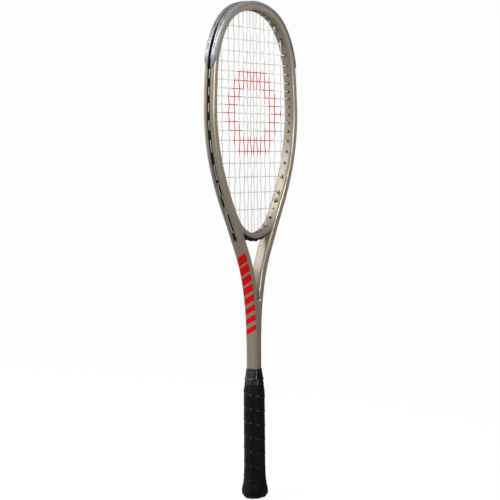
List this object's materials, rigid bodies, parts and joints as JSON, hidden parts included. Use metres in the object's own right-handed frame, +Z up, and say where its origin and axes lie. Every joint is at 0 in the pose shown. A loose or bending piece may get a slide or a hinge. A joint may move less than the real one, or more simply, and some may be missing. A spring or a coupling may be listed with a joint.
{
  "type": "squash racket",
  "caption": "Strung squash racket with an open throat, a bumper over the tip and a wrapped handle, for striking a ball.",
  "frame": {"origin": "centre of the butt end, on the handle axis", "axes": "+Z up the racket from butt to tip, +X across the head, +Y square to the string plane"},
  "size_m": [0.213, 0.031, 0.686],
  "materials": {
    "frame_paint": "satin",
    "foam": "matte",
    "guard": "gloss",
    "grommet": "satin",
    "string": "satin",
    "pallet": "matte",
    "butt": "satin",
    "staple": "satin",
    "grip": "matte",
    "tape": "satin",
    "collar": "gloss"
  },
  "bodies": {
    "root": {"frame_tube": "frame_paint", "throat_bridge": "frame_paint", "bridge_foam_core": "foam", "shaft_end_plug": "foam", "bumper_guard": "guard", "grommet_strip_left": "grommet", "grommet_strip_right": "grommet", "throat_grommet_strip": "grommet", "main_string": "string", "cross_string": "string", "main_string_knots": "string", "cross_string_knots": "string", "handle_pallet_left": "pallet", "handle_pallet_right": "pallet", "butt_cap": "butt", "butt_cap_staples": "staple", "grip_wrap": "grip", "finishing_tape": "tape", "rubber_collar": "collar"}
  },
  "joints": []
}
